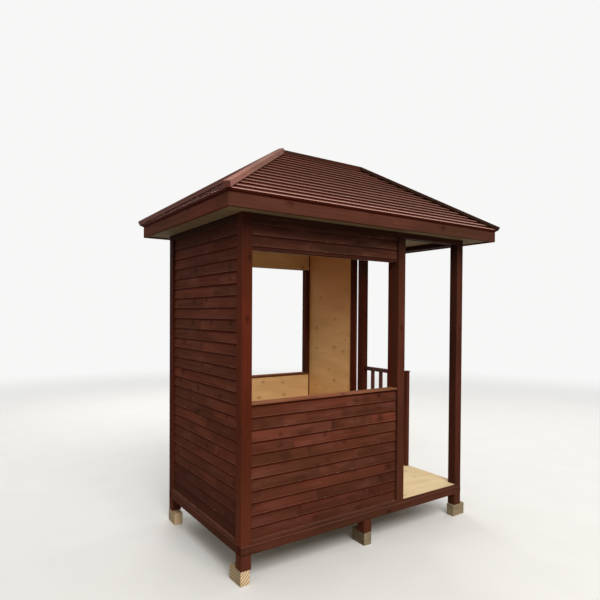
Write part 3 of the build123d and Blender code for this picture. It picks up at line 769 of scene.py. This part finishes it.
def board_roof(name, node, out_side, material, seed):
    """Lapped boards on one roof face, cut along the hips, with a thin sheathing under them and a strip along
    each hip."""
    low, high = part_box(node)
    along = Z.cross(out_side)
    eave_half = abs((high - low).dot(along)) / 2
    ridge_low, ridge_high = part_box("ridge_cap")
    has_ridge = abs(along.x) > 0.5
    ridge_half = abs((ridge_high - ridge_low).dot(along)) / 2 if has_ridge else 0.0
    run = abs((high - low).dot(out_side))
    rise = high.z - low.z - ROOF_SLAB
    slope = math.hypot(run, rise)
    up = (Z * rise - out_side * run) / slope
    normal = along.cross(up)
    eave = out_side * max(low.dot(out_side), high.dot(out_side)) + Z * (low.z + ROOF_SLAB)
    exposure = slope / (ROOF_COURSES - ROOF_CUT_COURSE)
    roof = Boarding(eave - normal * ROOF_BUTT, along, up, normal, exposure, seed)

    def half(u):
        return eave_half + (ridge_half - eave_half) * min(u / slope, 1.0)

    def ends(u):
        reach = max(half(u) - HIP_INSET, HAIR)
        return -reach, reach

    rafters = [RAFTER_PITCH * (k + 0.5) for k in range(RAFTERS_PER_SIDE)]
    for number in range(ROOF_COURSES):
        base = number * exposure
        profile = lap_profile(slope - base - HAIR, exposure, ROOF_BUTT, number == 0)
        roof.course(number, profile, base, ends, ROOF_LENGTHS)
        reach = half(base) - NAIL_HIP_INSET
        roof.nail(number, profile, base, [s for r in rafters for s in (-r, r) if r < reach])

    sheathing = ROOF_SLAB * run / slope
    top = slope - 2 * HAIR
    low_end, high_end = half(0) - HIP_INSET, max(half(top) - HIP_STRIP[0], POINT_HALF)
    roof.slab([(-low_end, 0), (low_end, 0), (high_end, top), (-high_end, top)], ROOF_BUTT - sheathing,
              -LAP_CLEARANCE)
    bottom = HAIR
    top = slope - RIDGE_ROOM if has_ridge else slope * HIP_STRIP_SHARE
    outer, inner = HIP_STRIP
    for side in (-1, 1):
        corners = [(side * (half(u) - inset), u) for u, inset in
                   ((bottom, outer), (bottom, inner), (top, inner), (top, outer))]
        roof.slab(corners, 0, ROOF_BUTT - HIP_STRIP_DROP)
    drive_nails("nails_" + name.removeprefix("boards_"), roof.nails, along, up, normal)
    return add_piece(name, roof.bm, material, (node,))


# Posts and other upright timbers, each with its stain and, if its left face is given painted shade or painted
# light, that colour and its strength. They have painted shade under the eaves, and painted bounce light low
# down.
POSTS = {
    "post_front_mid": (BROWN_POST_STAIN, None),
    "post_front_right": (BROWN_POST_STAIN, (PAINTED_EAVES_SHADE, 0.4)),
    "newel": (BROWN_POST_STAIN, None),
    "window_stud": (BROWN_POST_STAIN, None),
    "post_front_left": (CORNER_POST_STAIN, (PAINTED_LIGHT_CORNER_SIDE, 0.15)),
    "post_rear_left": (POST_STAIN, (PAINTED_EAVES_SHADE, 0.3)),
    "post_rear_mid": (POST_STAIN, None),
    "post_rear_right": (POST_STAIN, None),
    "door_posts": (POST_STAIN, None),
}
eaves_shade_band = Band(low=2.0, high=SKY, soft=0.14, colour=PAINTED_EAVES_SHADE, strength=0.6)
foot_bounce_light = Band(low=DEEP, high=0.6, soft=0.4, colour=PAINTED_BOUNCE_LIGHT, strength=0.25)
upright_pith = Vector((0.021, 0.034, 0))
for index, (node, (stain, painted_left_shading)) in enumerate(POSTS.items()):
    # The door posts are several timbers, so their pith line isn't at the middle of their box
    centre = middle(node) * (0 if node == "door_posts" else 1)
    bands = (eaves_shade_band,) if node == "post_front_right" else (eaves_shade_band, foot_bounce_light)
    paint(node, stained_timber("stain_" + node, stain, Z, centre + upright_pith, seed=1.7 * index + 0.4,
                               bands=bands, painted_left_shading=painted_left_shading))
paint("legs", stained_timber("stain_legs", LEG_STAIN, Z, upright_pith, seed=19.1))
paint("railing", railing_material())

# Beams, joists and plates: the beams are rubbed pale along their top, with a painted highlight there, and the
# plates have painted shade under the eaves
beam_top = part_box("floor_panel")[0].z
beam_bands = (
    Band(low=beam_top - 0.007, high=beam_top - 0.002, soft=0.0012, colour=PALE_WEAR_AND_HIGHLIGHT, strength=0.6),
    Band(low=2.1, high=SKY, soft=0.01, colour=PAINTED_EAVES_SHADE, strength=0.6),
)
BEAMS = {"floor_beam_front": X, "floor_beam_rear": X, "floor_beam_left": Y, "floor_beam_right": Y,
         "floor_joists": Y, "plates_along": X, "plates_across": Y}
beam_pith = Vector((0.027, 0.031, -0.022))
for index, (node, axis) in enumerate(BEAMS.items()):
    paint(node, stained_timber("stain_" + node, BEAM_STAIN, axis, middle(node) + beam_pith,
                               seed=2.3 * index + 0.9, bands=beam_bands))

# Fascia boards, with a painted shadow along the top edge, under the roof boards
fascia_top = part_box("fascia_front")[1].z
fascia_shadow_bands = (Band(low=fascia_top - 0.013, high=fascia_top + 0.01, soft=0.0015, colour=POOLED_STAIN_AND_SHADE,
                     strength=0.75),)
FASCIAS = {"fascia_front": (X, FASCIA_STAIN), "fascia_rear": (X, FASCIA_STAIN),
           "fascia_left": (Y, RED_FASCIA_STAIN), "fascia_right": (Y, FASCIA_STAIN)}
fascia_pith = Vector((0.03, 0.03, -0.09))
for index, (node, (axis, stain)) in enumerate(FASCIAS.items()):
    paint(node, stained_timber("stain_" + node, stain, axis, middle(node) + fascia_pith,
                               seed=3.1 * index + 0.2, bands=fascia_shadow_bands))

# Sills of the two openings: the rear one is darker on the side that looks into the room
paint("window_sills", stained_timber("stain_window_sills", SILL_STAIN, X, (0, 0.02, 1.02), seed=0.7,
                                     rough=0.75, specular=0.01, rear_inner=(STAIN_PATCH, 0.6)))

# Ridge and hip caps. Each hip cap has the side of the roof's corner that it runs down to, and its stain: the
# front right one's is darkened with painted shade, and the pale front left one's carries painted sheen. Its
# grain
# follows it: its box is higher than the way it climbs by cap_height. The pale one is darker higher up.
paint("ridge_cap", stained_timber("stain_ridge_cap", HIP_STAIN, X, middle("ridge_cap") - Z * 0.03, seed=5.5))
HIP_CAPS = {"hip_cap_front_left": (-1, -1, HIP_STAIN_PALE_WITH_SHEEN), "hip_cap_front_right": (1, -1, HIP_STAIN_PAINTED_SHADE),
            "hip_cap_rear_left": (-1, 1, GREYED_HIP_STAIN), "hip_cap_rear_right": (1, 1, HIP_STAIN)}
cap_pith = Vector((0.02, 0.01, -0.04))
cap_height = 0.045
high_on_hip = Band(low=2.76, high=SKY, soft=0.22, colour=HIGH_HIP, strength=0.5)
for index, (node, (side, front, stain)) in enumerate(HIP_CAPS.items()):
    low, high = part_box(node)
    size = high - low
    axis = Vector((-side * size.x, -front * size.y, size.z - cap_height))
    bands = (high_on_hip,) if stain == HIP_STAIN_PALE_WITH_SHEEN else ()
    paint(node, stained_timber("stain_" + node, stain, axis, middle(node) + cap_pith, seed=1.9 * index + 0.5,
                               specular=0.01, bands=bands, depth=0.0001))

# Bare plywood and pine. The linings have painted shade towards their top, most on the partition's lining.
lining_thickness = 0.008
low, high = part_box("floor_panel")
paint("floor_panel", plywood("ply_floor", FLOOR_WOOD, X, low, Z, high.z - low.z, edge_stain=BEAM_STAIN))
low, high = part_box("ceiling_panel")
paint("ceiling_panel", plywood("ply_ceiling", CEILING_WOOD, X, low, Z, high.z - low.z))
for node, through, top_shade in (("left_lining", X, 0.2), ("partition_lining", X, 0.8),
                              ("front_lining", Y, 0.2), ("rear_lining", Y, 0.2)):
    low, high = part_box(node)
    paint(node, plywood("ply_" + node, LINING_WOOD, Z.cross(through), low, through, lining_thickness,
                        top_shade=top_shade, knot_share=0.62))
paint("foot_blocks", foot_block_material())

# Boarded walls and roof. The header boards' stain is darkened with painted shade. The left wall is stained
# more evenly than the others, with more painted shade high on it, under the eaves, and darker low on it. The
# roof boards' worn edges carry a painted highlight, and the left roof face's stain is paled with painted
# sheen.
steel = nail_metal("nail_heads")
wall_stain = stained_boards("stain_wall_boards", BOARD_STAIN)
head_shaded_stain = stained_boards("stain_header_boards_painted_shade", HEADER_STAIN_PAINTED_SHADE, lap=HEADER_LAP_SHADE_AND_STAIN)
calm_stain = stained_boards("stain_calm_boards", CALM_BOARD_STAIN, rubbing=0.35, soaking=0.12, low_darkening=0.7,
                            eaves=0.6)
roof_looks = {"edge_wear_and_sheen": ROOF_EDGE_WEAR_AND_SHEEN, "edge_band": (0.08, 0.56), "rubbing": 0.15, "lap_darkening": (0.72, 0.92),
              "roof_wear_and_sheen": ROOF_WEAR_AND_SHEEN_HEIGHTS}
roof_stain = stained_boards("stain_roof_boards", ROOF_STAIN, edge_strengths=(0.42, 0.8), depth=0.0003,
                            **roof_looks)
left_roof_sheen_stain = stained_boards("stain_left_roof_boards_painted_sheen", ROOF_STAIN_PAINTED_SHEEN, edge_strengths=(0.6, 0.75),
                                 depth=0.00003, **roof_looks)
strip = HEAD_STRIP_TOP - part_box("front_header")[0].z
rear_strip = HEAD_STRIP_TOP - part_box("rear_header")[0].z
board_wall("boards_left", "left_wall", -X, calm_stain, 11, variety=0.45)
board_wall("boards_front", "front_wall_lower", -Y, wall_stain, 12, variety=1.1)
board_wall("boards_front_head", "front_header", -Y, head_shaded_stain, 13, HEAD_EXPOSURE, strip)
board_wall("boards_rear", "rear_wall_lower", Y, wall_stain, 14)
board_wall("boards_rear_head", "rear_header", Y, head_shaded_stain, 15, HEAD_EXPOSURE, rear_strip)
board_wall("boards_partition", "partition_wall", X, wall_stain, 16)
board_roof("boards_roof_front", "roof_front", -Y, roof_stain, 21)
board_roof("boards_roof_rear", "roof_rear", Y, roof_stain, 22)
board_roof("boards_roof_left", "roof_left", -X, left_roof_sheen_stain, 23)
board_roof("boards_roof_right", "roof_right", X, roof_stain, 24)

# Nails of the fascia boards and of the long floor beams: the way the board looks, and each nail's station
# along it from the hut's middle, seen from outside, with its height above the ground
TRIM_NAILS = {
    "fascia_front": (-Y, ((-0.792, 2.263), (0.081, 2.246), (0.744, 2.237))),
    "fascia_rear": (Y, ((-0.75, 2.25), (-0.08, 2.24), (0.79, 2.262))),
    "fascia_left": (-X, ((-0.38, 2.252), (0.091, 2.216), (0.274, 2.21))),
    "fascia_right": (X, ((-0.3, 2.245), (0.12, 2.23), (0.4, 2.258))),
    "floor_beam_front": (-Y, ((-0.989, 0.204), (-0.765, 0.2295), (-0.03, 0.21), (0.93, 0.206))),
    "floor_beam_rear": (Y, ((-0.94, 0.207), (0.02, 0.212), (0.77, 0.228), (0.99, 0.203))),
}
for trim, (out, places) in TRIM_NAILS.items():
    low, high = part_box(trim)
    face = out * max(low.dot(out), high.dot(out))
    along = Z.cross(out)
    spots = [face + along * station + Z * height for station, height in places]
    drive_nails("nails_" + trim, spots, along, Z, out, TRIM_NAIL_RADIUS)

# Floor and background: a pale floor that fades into the plain background with its distance, and throws less
# light back at the hut than it shows
FLOOR_SIZE = 60.0
FLOOR_FADE = (3.5, 12.0)
FLOOR_TONES = (srgb(226, 225, 222), srgb(232, 231, 228))
BACKGROUND = (0.93, 0.93, 0.925, 1)
GROUND_BOUNCE = (0.36, 0.35, 0.33, 1)
AMBIENT = (1.0, 0.985, 0.96, 1)
AMBIENT_STRENGTH = 0.5

ground = Surface("studio_ground")
speckle = ground.noise(ground.stretch(ground.position(), (3, 3, 3)))
is_camera_ray = ground.node("ShaderNodeLightPath", {}).outputs["Is Camera Ray"]
ground_colour = ground.mix(is_camera_ray, GROUND_BOUNCE, ground.mix(speckle, *FLOOR_TONES))
ground.finish(ground_colour, speckle, 0.9, depth=0.0002, specular=0.1)
fade = ground.step(ground.vector("LENGTH", ground.position()), *FLOOR_FADE)
plain = ground.node("ShaderNodeEmission", {"Color": BACKGROUND, "Strength": 1.0}).outputs[0]
blend = ground.node("ShaderNodeMixShader", {0: ground.math("MULTIPLY", fade, ground.backdrop_ray()),
                                            1: ground.shader.outputs[0], 2: plain})
ground.feed(blend.outputs[0], ground.tree.nodes["Material Output"].inputs["Surface"])

floor_bm = bmesh.new()
bmesh.ops.create_grid(floor_bm, x_segments=12, y_segments=12, size=FLOOR_SIZE)
floor = new_object("studio_floor", floor_bm, ground.material)

world = bpy.data.worlds.new("studio_world")
bpy.context.scene.world = world
world.use_nodes = True
sky = Nodes(world.node_tree)
shown = sky.tree.nodes["Background"]
sky.feed(BACKGROUND, shown.inputs["Color"])
sky.feed(1.0, shown.inputs["Strength"])
ambient = sky.node("ShaderNodeBackground", {"Color": AMBIENT, "Strength": AMBIENT_STRENGTH}).outputs[0]
mixed = sky.node("ShaderNodeMixShader", {0: sky.backdrop_ray(), 1: ambient, 2: shown.outputs[0]}).outputs[0]
sky.feed(mixed, sky.tree.nodes["World Output"].inputs["Surface"])

LIGHT_AIM = Vector((0, 0, 1.2))


def softbox(name, place, size, power, colour=(1, 1, 1)):
    """A rectangular studio light that looks at the hut."""
    light = bpy.data.lights.new(name, "AREA")
    light.shape = "RECTANGLE"
    light.size, light.size_y = size
    light.energy = power
    light.color = colour
    lamp = bpy.data.objects.new(name, light)
    lamp.location = place
    lamp.rotation_euler = (LIGHT_AIM - Vector(place)).to_track_quat("-Z", "Y").to_euler()
    bpy.context.scene.collection.objects.link(lamp)


softbox("key", place=(-1.6, -6.6, 7.2), size=(5, 5), power=650, colour=(1.0, 0.985, 0.96))
softbox("rear_fill", place=(1.0, 6.5, 5.0), size=(5, 4), power=240)
softbox("right_fill", place=(7.0, 0.5, 4.5), size=(4, 4), power=110)

# The photograph's camera: the side of the image, the focal length and the upward shift in pixels, its place,
# and its turn to the right of +Y, its tilt up and its roll in degrees
IMAGE_SIDE = 600
FOCAL = 508.673
SHIFT_UP = 22
CAMERA_PLACE = (-2.43107, -3.25329, 1.6178)
YAW, PITCH, ROLL = (math.radians(angle) for angle in (34.359, -0.895, 0.345))
SENSOR_WIDTH = 36

forward = Vector((math.sin(YAW) * math.cos(PITCH), math.cos(YAW) * math.cos(PITCH), math.sin(PITCH)))
level = Vector((math.cos(YAW), -math.sin(YAW), 0))
upward = level.cross(forward)
right = level * math.cos(ROLL) + upward * math.sin(ROLL)
top = upward * math.cos(ROLL) - level * math.sin(ROLL)
lens = bpy.data.cameras.new("camera")
lens.sensor_width = SENSOR_WIDTH
lens.lens = FOCAL / IMAGE_SIDE * SENSOR_WIDTH
lens.shift_y = SHIFT_UP / IMAGE_SIDE
lens.clip_end = 200
camera = bpy.data.objects.new("camera", lens)
turn = Matrix((right, top, -forward)).transposed().to_4x4()
camera.matrix_world = Matrix.Translation(CAMERA_PLACE) @ turn
bpy.context.scene.collection.objects.link(camera)
bpy.context.scene.camera = camera
bpy.context.scene.view_settings.view_transform = "Standard"
